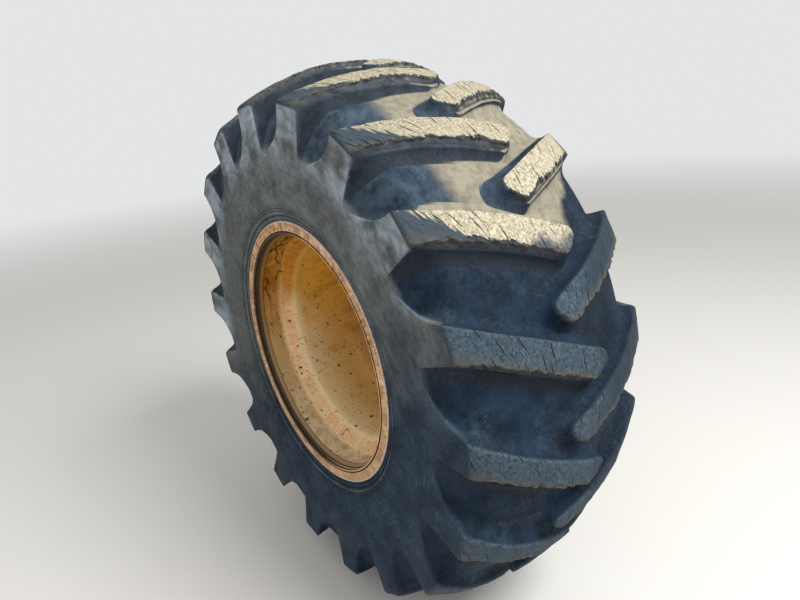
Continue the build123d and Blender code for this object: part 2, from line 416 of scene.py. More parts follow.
def rubber_material():
    """Vulcanised rubber, moulded and then worn: blue-black in the grooves, grey and bloomed on the
    sidewall, dusty on the worn lug tops, with torn edges, slashes, pocks and fine cracks. Painted
    sunlight makes the higher tops and floors pale; painted shade darkens the lower sidewall, the lower
    tops and the machine's side, and tints the shade blue."""
    material, tree, shader = new_material("worn moulded tyre rubber")
    spot, radius, side, height, way = wheel_places(tree)
    blots = partial(patches, tree, spot)
    names = ("top", "edge", "shoulder", "torn", "along", "across", "lug_number")
    lug_top, edge, shoulder, torn, along, across, lug_number = (
        put(tree, "Attribute", attribute_name=name).outputs["Fac"] for name in names)
    normal = put(tree, "NewGeometry").outputs["Normal"]
    sunward = put(tree, "VectorMath DOT_PRODUCT", [normal, painted_sun_way])

    # Lane along a lug, leaning as the slashes do, with its own run for each lug
    shear = put(tree, "Math MULTIPLY_ADD", [across, -0.55, along])
    run = put(tree, "Math MULTIPLY_ADD", [lug_number, 0.737, shear])
    lane = put(tree, "CombineXYZ", [run, across])
    on_lane = partial(patches, tree, lane)

    # Grooves: blue-black, the blue a painted sky shade, clouded by dried mud; painted light makes the
    # higher grooves paler, and painted shade darkens them on the machine's side
    mud = blots(150, 0.48, 0.70, 6.0)
    groove = coats(
        tree, "#0e1b2a",
        ("#192b3d", blots(70, 0.33, 0.66, 6.0)),
        ("#374855", mud, blots(22, 0.33, 0.6, 5.0), 0.7),
        # Painted light: higher grooves are paler, except on the machine's shaded side
        ("#4d5b67", (height, 0.36, 0.62), (side, 0.08, -0.04), blots(40, 0.25, 0.65, 6.0), 0.65),
        ("#22262b", (across, -0.042, -0.050), 0.7),
        ("#272d35", blots(60, 0.52, 0.66, 5.0), 0.5),
        # Painted shade of the machine on the inboard grooves
        ("#0c151e", (side, -0.04, 0.10), 0.5),
        ("#0a1219", blots(8, 0.56, 0.70), 0.6),
        ("#7a8993", blots(5, 0.68, 0.74, 2.0), mud))

    # Sidewall and shoulder: grey with bloom above, and painted shade that makes it darker and bluer lower
    # down
    cloud = blots(90, 0.33, 0.68, 6.0)
    ahead = put(tree, "SeparateXYZ", [spot])
    tilted = put(tree, "Math MULTIPLY_ADD", [ahead, -0.38, height])
    uneven_height = put(tree, "Math MULTIPLY_ADD", [cloud, 0.08, tilted])
    # Painted shade: the sidewall is painted darker and bluer below this uneven level
    lower = (uneven_height, 0.26, -0.25)
    outer = (radius, 0.60, 0.70, 0.12, 1.0)
    raised = (tilted, 0.0, 0.20, 0.05, 1.0)
    turn = put(tree, "Math ARCTAN2", [height, ahead])
    arcs = put(tree, "CombineXYZ", [radius, put(tree, "Math MULTIPLY", [turn, 0.55])])
    scuffs = meet(tree, slits(tree, arcs, 26, 80, 1.6), blots(90, 0.46, 0.56))
    streaky = put(tree, "VectorMath ADD", [way, put(tree, "CombineXYZ", [0, radius])])
    swept = patches(tree, streaky, 16, 0.40, 0.66, 5.0, (0.35, 1, 0.35))
    light = coats(tree, "#505454", ("#6c6f6f", cloud), ("#6f675c", blots(45, 0.54, 0.72, 6.0), 0.5))
    # Painted shade: the dark blue copy of the sidewall grey, laid over its lower part
    dark = coats(tree, "#122435", ("#21384c", cloud))
    wave = put(tree, "Math SINE", [put(tree, "Math MULTIPLY", [radius, 2 * math.pi / 0.0065])])
    ribbed = meet(tree, (wave, -0.2, 0.9), zone(tree, radius, 0.455, 0.500, 0.010))
    # Painted shade: dark lines in the moulded ring grooves and valleys, and in the gap beside the flange
    rings = zone(tree, radius, 0.4637, 0.4663, 0.0012)
    for ring_radius in (0.4515, 0.4795, 0.4885):
        line = zone(tree, radius, ring_radius - 0.0006, ring_radius + 0.0006, 0.0010)
        rings = put(tree, "Math MAXIMUM", [rings, line])
    wall = coats(
        tree, light,
        # Painted shade on the lower sidewall
        (dark, lower, 0.96),
        ("#3f3b33", (ahead, -0.10, -0.50), cloud, 0.5),
        ("#9aa7b0", blots(120, 0.36, 0.60, 5.0), outer, raised, 0.9),
        ("#262c31", swept, 0.35),
        ("#2a3136", ribbed, 0.4),
        # Painted shade in the ring grooves and the gap beside the flange
        ("#12181d", rings, blots(60, 0.15, 0.5, 4.0), 0.85),
        ("#80878a", zone(tree, radius, 0.4725, 0.4765, 0.0020), cloud, 0.45),
        ("#8a9092", blots(5, 0.68, 0.74, 2.0), cloud, 0.6),
        ("#8a8f8f", scuffs, 0.35))
    out_of_groove = (radius, 0.690, 0.645)
    is_wall = put(tree, "Math MAXIMUM", [shoulder, out_of_groove])
    not_wall = (is_wall, 0, 1, 1.0, 0.0)

    # Painted sunlight lies above a level that climbs towards the machine; below it the machine's shade is
    # painted
    beyond = put(tree, "Math SUBTRACT", [side, 0.104])
    climb = put(tree, "Math MAXIMUM", [beyond, 0.0])
    wander = blots(110, 0.0, 1.0, 4.0)
    level = put(tree, "Math MULTIPLY_ADD", [wander, 0.10, height])
    level = put(tree, "Math MULTIPLY_ADD", [climb, -0.9, level])
    sunlit_upper = (level, sunlit_height + 0.030, sunlit_height + 0.080)
    outward = put(tree, "VectorMath DOT_PRODUCT", [normal, way])
    sunny_top = meet(tree, sunlit_upper, (sunward, 0.19, 0.29), (outward, 0.50, 0.75))
    sunny_floor = meet(tree, sunlit_upper, (sunward, 0.40, 0.47), (outward, 0.52, 0.74))

    # Worn tops: grey-blue in painted shade, and pale with dust where painted sunlight falls
    fine = blots(9, 0.33, 0.66, 6.0)
    streaks = on_lane(5, 0.42, 0.62, 4.0, (1, 0.28, 1))
    pits = blots(5, 0.57, 0.66, 3.0)
    pale = blots(6.5, 0.56, 0.66, 3.0)
    # Painted shade: the tops out of the sun, blue-grey
    shaded_bare = coats(
        tree, "#2f3b45",
        ("#495863", fine),
        ("#28323b", streaks, 0.35),
        ("#7b8a93", pale, 0.1),
        ("#1f2932", pits, 0.25))
    # Dust under painted sunlight: pale beige where the sun is painted on the tops
    dust = coats(
        tree, "#857d69",
        ("#b3aa91", fine),
        ("#c9c1aa", streaks, 0.35),
        ("#ded6c0", pale, 0.7),
        ("#514b3f", pits, 0.8),
        ("#857d69", (height, 0.52, 0.72), 0.4))
    # Dust on the groove floors under painted sunlight
    sunlit_floor_dust = coats(
        tree, "#726d5e",
        ("#8b8574", blots(24, 0.3, 0.65, 6.0)),
        ("#736f62", blots(7, 0.55, 0.7), 0.5))

    # The worn top ends in leaning teeth short of the torn lower edge; below them the top is painted dark,
    # as the shade of the surface falling away to the edge
    teeth = on_lane(9, 0.30, 0.70, 3.0, (1, 0.12, 1))
    sweep = on_lane(45, 0.25, 0.75, 3.0, (1, 0.3, 1))
    low_line = put(tree, "Math MULTIPLY_ADD", [teeth, 0.011, -0.0415])
    low_line = put(tree, "Math MULTIPLY_ADD", [sweep, 0.017, low_line])
    inside = put(tree, "Math SUBTRACT", [across, low_line])
    kept = (inside, 0.0, 0.0015)

    # Towards the shoulder the top falls away below and turns from the sun: there it is painted in shade,
    # and the painted sunlight keeps to its higher edge
    falling = put(tree, "Math MULTIPLY_ADD", [side, 0.745, 0.187])
    falling = put(tree, "Math MULTIPLY_ADD", [teeth, 0.030, falling])
    falling = put(tree, "Math ADD", [falling, across])
    sun_facing = (falling, 0.012, 0.024)
    top = coats(
        tree, shaded_bare,
        # Painted shade of the machine on the inboard tops
        ("#1d2933", (side, -0.02, 0.10), 0.7),
        # Painted shade where the higher tops turn from the sun near the shoulder
        ("#3a4247", (sun_facing, 0, 1, 1.0, 0.0), sunlit_upper, 0.6),
        (dust, sunny_top, sun_facing))
    # Torn ledge: brown-grey dust on the worn bevel, its paler lip partly a painted highlight
    band = coats(tree, "#2b3136", ("#4f4d48", on_lane(25, 0.3, 0.62, 5.0)))

    # Slashes, cracks and pocks
    deep = meet(tree, slits(tree, lane, 34, 62, 4.4), on_lane(60, 0.38, 0.46), lug_top)
    short = meet(tree, slits(tree, lane, 14, 22, 2.4), on_lane(42, 0.50, 0.58), lug_top)
    pocks = meet(tree, blots(7, 0.64, 0.70, 3.0), lug_top)
    cut = put(tree, "Math MAXIMUM", [deep, short])
    cracks = meet(tree, outlines(tree, spot, 34, 0.005), blots(80, 0.5, 0.6), is_wall)
    rubbed = (edge, 0.35, 0.95)
    colour = coats(
        tree, groove,
        (wall, is_wall),
        (sunlit_floor_dust, sunny_floor, not_wall, blots(110, 0.18, 0.28)),
        # Painted shade on the top below the teeth, where it falls away to the torn edge
        ("#252f38", lug_top),
        (top, lug_top, kept),
        ("#56544e", (across, -0.006, -0.038), lug_top, (sunny_top, 0, 1, 1.0, 0.0), 0.7),
        (band, torn, on_lane(30, 0.25, 0.55, 5.0), 0.9),
        ("#6e6a60", rubbed, blots(18, 0.4, 0.62, 5.0), 0.35),
        ("#10161b", cut, 0.92),
        ("#232a2f", pocks, 0.8),
        ("#1d2327", cracks, 0.35))
    dress(tree, shader, colour, fine, 0.65, 0.9)
    grain = blots(2.6, 0.2, 0.8, 3.0)
    shader.inputs["Specular IOR Level"].default_value = 0.15
    emboss(tree, shader, 1.6, (grain, 0.16), (fine, 0.15), (streaks, meet(tree, lug_top, 0.18)),
           (deep, -2.4), (short, -1.2), (pocks, -0.8), (cracks, -0.3), (scuffs, -0.15), (swept, -0.12),
           (ribbed, -0.3), (rings, -0.8))
    return material


def rim_material():
    """Rolled steel with sprayed yellow enamel, weathered: cream at the bend, rust on the slope and brown
    tide marks on the seat. Painted light makes it paler below and palest, as a painted highlight, at the
    very bottom; painted shade makes it golden above."""
    material, tree, shader = new_material("weathered yellow enamel on rolled steel")
    spot, radius, side, height, way = wheel_places(tree)
    blots = partial(patches, tree, spot)
    around = put(tree, "VectorMath SCALE", [way, well_radius * MM])
    across = put(tree, "CombineXYZ", [0, side])
    sheet = put(tree, "VectorMath ADD", [around, across])
    on_sheet = partial(patches, tree, sheet)
    broad = blots(190, 0.25, 0.75, 3.0)
    patch = blots(48, 0.34, 0.66, 6.0)
    fine = blots(7, 0.35, 0.65, 5.0)
    drawn = on_sheet(4, 0.5, 0.78, 3.0, (1, 0.03, 1))
    # Painted light: by this uneven height the enamel is painted paler low down, palest as a painted
    # highlight at the very bottom, and more golden high up as painted shade
    uneven_height = put(tree, "Math MULTIPLY_ADD", [broad, 0.14, height])
    low = (uneven_height, 0.26, -0.16)
    lowest_highlight = (uneven_height, -0.10, -0.28)
    high = (uneven_height, 0.0, 0.28)

    # The borders between the bands wander and fray in streaks across the rim
    fray = on_sheet(12, 0.1, 0.9, 5.0, (1, 0.3, 1))
    ragged = put(tree, "Math MULTIPLY_ADD", [fray, 0.014, side])
    bend = zone(tree, ragged, -0.150, -0.138, 0.024)
    near_bend = (ragged, 0.0, -0.13)
    slope = zone(tree, ragged, -0.187, -0.168, 0.017)
    seat = (ragged, -0.190, -0.199)

    well = coats(
        tree, "#d49d35",
        # Painted light: paler low down
        ("#c8a76c", low),
        ("#d9aa50", patch, 0.35),
        ("#a07428", drawn, (radius, 0.338, 0.342), 0.4),
        ("#9a671c", on_sheet(60, 0.52, 0.72, 5.0, (1, 0.4, 1)), 0.45),
        ("#8a6a30", blots(6, 0.6, 0.7, 2.0), 0.5))
    brushed = on_sheet(9, 0.40, 0.66, 5.0, (1, 0.25, 1))
    rust = coats(tree, "#ebc79c", ("#a65a12", high), ("#c07f34", patch, 0.3), ("#c98f45", brushed, 0.45))
    # Pale enamel at the bend, painted more golden high up as shade
    pale = coats(tree, "#e8d4a8", ("#bf9448", high))
    drawn_out = put(tree, "Mapping", {"Vector": sheet, "Scale": (0.55, 1.0, 0.55)})
    tide = outlines(tree, drawn_out, 48, 0.045, 1.0)
    brown = coats(
        tree, "#8f590c",
        ("#b78335", patch),
        # Painted light: paler low down, and a painted highlight at the very bottom
        ("#c9ae7e", low, 0.75),
        ("#dfd2b8", lowest_highlight, patch, 0.7),
        ("#2d1a08", tide, high, 0.9),
        ("#3a1c10", on_sheet(34, 0.66, 0.70, 3.0), 0.85))
    lane = put(tree, "CombineXYZ", [put(tree, "Math MULTIPLY", [height, 1.7]), side])
    chips = on_sheet(13, 0.655, 0.685, 3.0)
    halo = on_sheet(13, 0.59, 0.67, 3.0)
    some = on_sheet(110, 0.44, 0.56)
    nicks = meet(tree, slits(tree, lane, 60, 30, 2.6), blots(90, 0.55, 0.6))
    speckle = meet(tree, on_sheet(5, 0.62, 0.67, 2.0), on_sheet(90, 0.40, 0.58))
    colour = coats(
        tree, well,
        # Painted light: pale enamel spreads low down near the bend
        (pale, near_bend, low, 0.6),
        (pale, bend, 0.8),
        # Painted highlight on the slope and seat at the very bottom
        (pale, zone(tree, ragged, -0.205, -0.150, 0.02), lowest_highlight, on_sheet(40, 0.3, 0.6, 5.0), 0.5),
        (rust, slope, on_sheet(30, 0.24, 0.52, 6.0, (1, 0.35, 1)), 0.9),
        (brown, seat),
        (pale, zone(tree, ragged, -0.201, -0.193, 0.006), 0.5),
        # Painted shade in the gap where the flange ring meets the rim
        ("#0c0704", (side, -0.2635, -0.2655), 0.8),
        ("#8a4f1e", halo, some, 0.6),
        ("#2b1a12", chips, some, 0.95),
        ("#2b1410", on_sheet(27, 0.675, 0.69, 3.0), 0.9),
        ("#4a2f18", speckle, 0.8),
        ("#2a1b12", nicks, 0.85),
        ("#e2cda4", blots(5, 0.72, 0.78, 2.0), 0.5))
    dress(tree, shader, colour, patch, 0.45, 0.75)
    shader.inputs["Specular IOR Level"].default_value = 0.12
    emboss(tree, shader, 0.5, (fine, 0.25), (meet(tree, chips, some), -0.8), (patch, 0.15), (nicks, -0.7))
    return material


def flange_material():
    """Forged steel ring, its old paint gone: rusted peach and orange with scratches across, a greyed lip
    of plain steel under a painted highlight, and a narrow groove of rust, dirt and painted shade; painted
    shade also lies on the side turned from the light, and painted light makes it paler low down."""
    material, tree, shader = new_material("rusted forged steel")
    spot, radius, side, height, way = wheel_places(tree)
    blots = partial(patches, tree, spot)
    around = put(tree, "VectorMath SCALE", [way, lip_radius * MM])
    on_ring = partial(patches, tree, around)
    patch = blots(36, 0.34, 0.66, 6.0)
    fine = blots(6, 0.35, 0.65, 5.0)
    across = meet(tree, on_ring(11, 0.46, 0.60, 4.0), blots(30, 0.3, 0.6, 4.0))
    lip = (radius, 0.4415, 0.4440)
    # Side turned from the light: dirt blotches lie there, and painted shade
    dirty_and_shaded_side = (put(tree, "SeparateXYZ", [spot]), 0.16, -0.06)
    bore = (radius, 0.4065, 0.4050)
    outside = put(tree, "Math ABSOLUTE", [side])
    wide = blots(85, 0.42, 0.62, 3.0)
    colour = coats(
        tree, "#b5824f",
        ("#e4b98e", patch),
        ("#94663f", wide, 0.5),
        ("#5f3a20", across, 0.65),
        ("#54393a", blots(60, 0.48, 0.62, 4.0), dirty_and_shaded_side, 0.55),
        ("#f2d2aa", on_ring(9, 0.54, 0.64), blots(20, 0.4, 0.6, 4.0), 0.8),
        ("#d9a244", blots(24, 0.56, 0.68, 4.0), 0.7),
        ("#43291a", blots(13, 0.57, 0.65, 5.0), 0.8),
        # Painted light: paler low down
        ("#b59a74", (height, 0.10, -0.30), 0.3),
        # Greyed plain steel on the lip, paler as a painted highlight
        ("#cdbab4", lip, on_ring(30, 0.2, 0.5, 5.0), 0.9),
        ("#6d5a58", lip, on_ring(9, 0.52, 0.66, 5.0), 0.7),
        # Narrow groove: rust and dirt, darkened further as painted shade
        ("#2b1a10", zone(tree, radius, 0.4110, 0.4150, 0.0010), 0.95),
        ("#e7b588", zone(tree, radius, 0.4055, 0.4100, 0.0010), fine, 0.5),
        # Painted shade on the inner part of the ring, on the side turned from the light
        ("#2a1a12", (radius, 0.4165, 0.4140), dirty_and_shaded_side, 0.9),
        ("#805a22", bore, 0.95),
        # Painted light: the bore paler low down
        ("#96825f", bore, (height, 0.15, -0.25), 0.8),
        # Painted shade in the gap beside the face, at the bore
        ("#0a0604", bore, (outside, 0.2785, 0.2810), 0.97))
    dress(tree, shader, colour, fine, 0.5, 0.8)
    shader.inputs["Specular IOR Level"].default_value = 0.35
    emboss(tree, shader, 0.7, (fine, 0.35), (across, -0.3), (patch, 0.3))
    return material


def brass_material():
    """Turned brass, dull and brown with age."""
    material, tree, shader = new_material("aged turned brass")
    spot = put(tree, "TexCoord").outputs["Object"]
    stain = patches(tree, spot, 4, 0.4, 0.65)
    dress(tree, shader, coats(tree, "#b08a45", ("#6d5128", stain)), stain, 0.3, 0.6)
    shader.inputs["Metallic"].default_value = 1.0
    return material


def plastic_material():
    """Moulded nylon cap, black and dusty."""
    material, tree, shader = new_material("moulded black nylon")
    spot = put(tree, "TexCoord").outputs["Object"]
    dust = patches(tree, spot, 6, 0.4, 0.75)
    dress(tree, shader, coats(tree, "#16181a", ("#4c4a45", dust)), dust, 0.4, 0.65)
    return material


# Tread: the casing under it, and lugs whose outside is matched to the casing below

def casing_half():
    """Casing outside on one side, from the middle of the crown to the foot of the shoulder."""
    sides = np.linspace(0, casing_shoulder_side, crown_steps)
    top = np.column_stack([crown(outer_radius - lug_depth, sides), sides])
    slope = top[-1] - top[-2]
    slope /= np.linalg.norm(slope)
    foot = np.array([foot_radius, foot_side])
    curve = bezier(top[-1], top[-1] + 25 * slope, foot + (50, 0), foot, 18)
    return np.vstack([top, curve[1:]])


def lug_half():
    """Outside of a lug on one side: over the crown, round the corner and down to the foot."""
    sides = np.linspace(0, half_tread, lug_crown_steps + 2)[:-2]
    points = [(radius, side, 0) for radius, side in zip(crown(outer_radius, sides), sides)]
    points.append((corner_radius, half_tread, lug_corner_round))
    points.append((foot_radius + 16, foot_side + 1.0, 60))
    points.append((foot_radius, foot_side, 0))
    return rounded(points, 8)


class TreadSection:
    """Matches the lug outside with the casing below it by one number: the axial place on the
    crown, and beyond the parting the distance gone along the outside."""

    def __init__(self):
        casing, lug = casing_half(), lug_half()
        first = [np.interp(parting_side, line[:count, 1], gone(line)[:count])
                 for line, count in ((casing, crown_steps), (lug, lug_crown_steps))]
        end = [gone(line)[-1] for line in (casing, lug)]
        self.last = parting_side + end[1] - first[1]
        share = np.linspace(0, 1, 300)
        self.numbers = parting_side + share * (self.last - parting_side)
        self.casing_line = along_line(casing, first[0] + share * (end[0] - first[0]))
        self.lug_line = along_line(lug, first[1] + share * (end[1] - first[1]))

    def at(self, number):
        """Lug radius, lug side, casing radius and casing side at a number."""
        number = np.asarray(number, float)
        inner = number <= parting_side
        values = []
        for line, top in ((self.lug_line, outer_radius), (self.casing_line, outer_radius - lug_depth)):
            radius = np.interp(number, self.numbers, line[:, 0])
            side = np.interp(number, self.numbers, line[:, 1])
            values.append(np.where(inner, crown(top, np.where(inner, number, 0)), radius))
            values.append(np.where(inner, number, side))
        return values


def flank_profile(depth, torn, soft):
    """Rows across one flank of a lug, from its middle line down to its foot: share of the half width,
    distance beyond the edge, and height as a share of the depth. A torn flank has lost its edge, and a
    soft one is rounder and lies flatter."""
    back = torn_back * torn
    edge_round = (lug_edge_round - 2.5 * min(torn, 1)) * (1 - soft) + soft_edge_round * soft
    draft = lug_draft + soft_lean * soft
    swing = math.pi / 2 - draft
    reach = edge_round * math.tan(swing / 2)
    rows = [(share, -(back + reach) * share, 0.0) for share in (0, 0.28, 0.5, 0.68, 0.82, 0.93)]
    for turn in np.linspace(0, swing, 5):
        drop = edge_round * (1 - math.cos(turn))
        rows.append((1.0, edge_round * math.sin(turn) - reach - back, drop))
    start_drop = edge_round * (1 - math.cos(swing))
    root = min(lug_root_round, (depth - start_drop - 2) / (1 - math.sin(draft)))
    end_drop = depth - root * (1 - math.sin(draft))
    slope = math.tan(draft)
    plain = np.linspace(start_drop, end_drop, 7)[1:-1]
    ledge = [(-back * 0.93, 5.0), (-back * 0.80, 9.0), (-back * 0.22, 12.5), (0.5, 16.5), (2.0, 20.0)]
    ragged = min(torn * 2.5, 1) * (depth > 34)
    for drop, (ledge_beyond, ledge_drop) in zip(plain, ledge):
        beyond = (1 - ragged) * drop * slope + ragged * ledge_beyond
        rows.append((1.0, beyond, (1 - ragged) * drop + ragged * ledge_drop))
    centre = (depth - root) * slope + root / math.cos(draft)
    for turn in np.linspace(draft, math.pi / 2, 8):
        rows.append((1.0, centre - root * math.cos(turn), depth - root + root * math.sin(turn)))
    rows.append((1.0, centre + 3, depth + skirt))
    rows = np.array(rows)
    rows[:, 2] = 1 - rows[:, 2] / depth
    return rows


def torn_share(run, way=-1):
    """How far the lower edge (way -1) is torn back at a place along the lug, between 0.3 and 1."""
    if way > 0:
        return 0.0
    wave = math.sin(run / 29.0 + 0.6) * math.sin(run / 11.0 + 1.9) + 0.6 * math.sin(run / 5.3)
    return 0.62 + 0.24 * wave


layer_names = ("top", "edge", "shoulder", "torn", "worn", "along", "across")


def line_values(profile, torn, shoulder, corner, crisp, run, across):
    """Layer values along one line across a lug, in the order of layer_names. The corner share keeps
    the chips off the shoulder's corner, and the shoulder's grey ends at a crisp edge or runs down."""
    share, beyond, rise = profile.T
    top = smooth(rise, 0.72, 0.97) * (1 - shoulder)
    edge = np.exp(-np.square((beyond + torn_back * torn) / 6.0)) * (share >= 0.9) * (rise > 0.45)
    edge = edge * (1 - corner) * np.where(across > 0, 0.4, 1.0)
    band = np.zeros(len(share))
    band[12:16] = np.array([0.15, 0.7, 1.0, 0.4]) * min(1.5 * torn, 1)
    grey = shoulder * smooth(rise, 0.2 + 0.5 * crisp, 0.75 + 0.2 * crisp)
    worn = smooth(rise, 0.05, 0.75) * (1 - shoulder)
    return np.column_stack([top, edge, grey, band, worn, run * MM, across * MM])


def placed(radius, side, z):
    """Points of the outer side of the tyre from their radius, side and z."""
    angle = np.arcsin(z / radius)
    return np.column_stack([radius * np.cos(angle), -side - hub_offset, radius * np.sin(angle)])


def crown_line(section, torn, spine, edge, outward, skew=0.0):
    """Line across a lug on the crown, from a spine point past an edge point of the lug's plan."""
    profile = flank_profile(lug_depth, torn, 0.0)
    share, beyond, rise = profile.T
    spine, edge, outward = (np.array(place, float) for place in (spine, edge, outward))
    run, across = (spine + share[:, None] * (edge - spine) + beyond[:, None] * outward).T
    run = run + skew * across * lean
    side = nose_side + run * math.cos(lug_angle) - across * math.sin(lug_angle)
    lug_r, lug_s, base_r, base_s = section.at(side)
    radius = base_r + rise * (lug_r - base_r)
    side = base_s + rise * (lug_s - base_s)
    z = lean * side + across / math.cos(lug_angle)
    return placed(radius, side, z), line_values(profile, torn, 0.0, 0.0, False, run, across)


def shoulder_line(section, way, number):
    """Line across a lug from its middle to its low (-1) or high (1) foot, at a section number."""
    lug_r, lug_s, base_r, base_s = (float(value) for value in section.at(min(number, section.last)))
    drop = max(corner_radius - lug_r, 0.0) if number > half_tread - 20 else 0.0
    full = corner_radius - foot_radius
    run = (number - nose_side) / math.cos(lug_angle)
    torn = torn_share(run, way) * (1 - smooth(number, half_tread - 30, half_tread))
    soft = smooth(drop / full, 0.0, 0.8) * (way > 0)
    profile = flank_profile(max(math.hypot(lug_r - base_r, lug_s - base_s), 24.0), torn, soft)
    share, beyond, rise = profile.T
    sink = max(number - section.last, 0.0)
    radius = base_r + rise * (lug_r - base_r) - 1.2 * sink
    side = base_s + rise * (lug_s - base_s) - 0.4 * sink
    spread = half_lug / math.cos(lug_angle)
    middle = lean * min(lug_s, half_tread) if drop == 0 else lean * half_tread
    low = middle - spread - foot_lean * drop
    high = middle + spread + foot_flare * (drop / full) ** flare_power
    middle = (low + high) / 2
    edge = low if way < 0 else high
    widen = 1 + (1 / math.cos(lug_angle) - 1) * (1 - smooth(drop, 0, 20))
    z = middle + share * (edge - middle) + way * beyond * widen + lean * (side - lug_s)
    across = way * (half_lug * share + beyond)
    shoulder = smooth(drop, 3, 16)
    corner = smooth(number, half_tread - 35, half_tread - 12)
    along = np.full(len(share), run)
    return placed(radius, side, z), line_values(profile, torn, shoulder, corner, way < 0, along, across)


def nose_path():
    """Plan of the nose, from the low flank round the slanted end to the high flank, with its normals."""
    swing = half_lug * math.tan(nose_slant)
    corners = [
        (nose_fan, -half_lug, 0),
        (nose_end + swing, -half_lug, nose_low_round),
        (nose_end - swing, half_lug, nose_high_round),
        (nose_fan, half_lug, 0),
    ]
    outline = rounded(corners, 12)
    path = along_line(outline, np.linspace(0, gone(outline)[-1], nose_lines + 2))
    run = np.gradient(path, axis=0)
    run /= np.linalg.norm(run, axis=1)[:, None]
    return path[1:-1], np.column_stack([-run[1:-1, 1], run[1:-1, 0]])


def lug_mesh():
    """One outer lug as points, faces and layers. Its middle line crosses angle 0 at the middle plane."""
    section = TreadSection()
    flat_run = (parting_side - nose_side) / math.cos(lug_angle)
    runs = np.arange(nose_fan, flat_run - 3, lug_line_gap)
    numbers = np.concatenate([
        np.linspace(parting_side, half_tread + 6, corner_lines),
        np.linspace(half_tread + 12, section.last + 6, foot_lines),
    ])
    flanks = {}
    for way in (-1, 1):
        lines = []
        for run in runs:
            skew = smooth(run, nose_fan, flat_run * 0.85)
            edge = (run, way * half_lug)
            lines.append(crown_line(section, torn_share(run, way), (run, 0), edge, (0, way), skew))
        for number in numbers:
            lines.append(shoulder_line(section, way, number))
        flanks[way] = lines
    nose = []
    path, outward = nose_path()
    for gone_share, edge, normal in zip(np.linspace(0, 1, len(path)), path, outward):
        torn = torn_share(nose_fan) * (1 - smooth(gone_share, 0.05, 0.45))
        nose.append(crown_line(section, torn, (nose_fan, 0), edge, normal))
    lines = flanks[-1][::-1] + nose + flanks[1]
    points = np.array([line[0] for line in lines])
    values = np.array([line[1] for line in lines])
    count, width = points.shape[:2]
    numbers = np.arange(count * width).reshape(count, width)
    faces = quads(numbers, columns_close=False)
    skirt_line = numbers[:, -1].tolist()
    for row in range(count // 2):
        other = count - 1 - row
        face = [skirt_line[row], skirt_line[other], skirt_line[other - 1]]
        if other - row > 2:
            face.append(skirt_line[row + 1])
        if other - row > 1:
            faces.append(face)
    faces.append([*numbers[0].tolist()[::-1], *numbers[-1].tolist()[1:]])
    layers = {name: values[..., place].ravel() for place, name in enumerate(layer_names)}
    return points.reshape(-1, 3), faces, layers


def tree_inputs(tree, *sockets):
    """Gives a geometry nodes tree its named inputs and one geometry output, and returns the inputs."""
    for label, kind in sockets:
        tree.interface.new_socket(label, in_out="INPUT", socket_type="NodeSocket" + kind)
    tree.interface.new_socket("Geometry", in_out="OUTPUT", socket_type="NodeSocketGeometry")
    return put(tree, "GroupInput").outputs


def lug_ring_tree():
    """Geometry nodes: turns one lug round the wheel, chips its edges and wears its top unevenly."""
    tree = bpy.data.node_groups.new("Lugs round the wheel", "GeometryNodeTree")
    given = tree_inputs(
        tree, ("Lug", "Geometry"), ("Count", "Int"), ("First Angle", "Float"), ("Chip Depth", "Float"),
        ("Chip Size", "Float"), ("Wear Depth", "Float"), ("Wear Size", "Float"), ("Seed", "Float"),
        ("Rubber", "Material"))
    spots = put(tree, "Points", {"Count": given["Count"]})
    number = put(tree, "InputIndex")
    step = put(tree, "Math DIVIDE", [-2 * math.pi, given["Count"]])
    first = put(tree, "Math MULTIPLY", [given["First Angle"], -1.0])
    turn = put(tree, "Math MULTIPLY_ADD", [number, step, first])
    rotation = put(tree, "CombineXYZ", [0, turn])
    copies = put(
        tree, "InstanceOnPoints", {"Points": spots, "Instance": given["Lug"], "Rotation": rotation})
    named = put(
        tree, "StoreNamedAttribute", {"Geometry": copies, "Name": "lug_number", "Value": number},
        data_type="FLOAT", domain="INSTANCE")
    real = put(tree, "RealizeInstances", [named])
    place = put(tree, "InputPosition")
    flat = put(tree, "VectorMath MULTIPLY", [place, (1, 0, 1)])
    outward = put(tree, "VectorMath NORMALIZE", [flat])
    normal = put(tree, "InputNormal")
    moved = real
    for what, layer, low, way in (("Chip", "edge", 0.47, normal), ("Wear", "worn", 0.2, outward)):
        scale = put(tree, "Math DIVIDE", [1.0, given[what + " Size"]])
        uneven = put(tree, "TexNoise", [place, given["Seed"], scale, 3.0], noise_dimensions="4D")
        bite = (uneven, low, 0.75)
        held = put(tree, "InputNamedAttribute", {"Name": layer}, data_type="FLOAT")
        inward = put(tree, "Math MULTIPLY", [meet(tree, bite, held, given[what + " Depth"]), -1.0])
        push = put(tree, "VectorMath SCALE", [way, inward])
        moved = put(tree, "SetPosition", {"Geometry": moved, "Offset": push})
    dressed = put(tree, "SetMaterial", {"Geometry": moved, "Material": given["Rubber"]})
    put(tree, "GroupOutput", [dressed])
    return tree


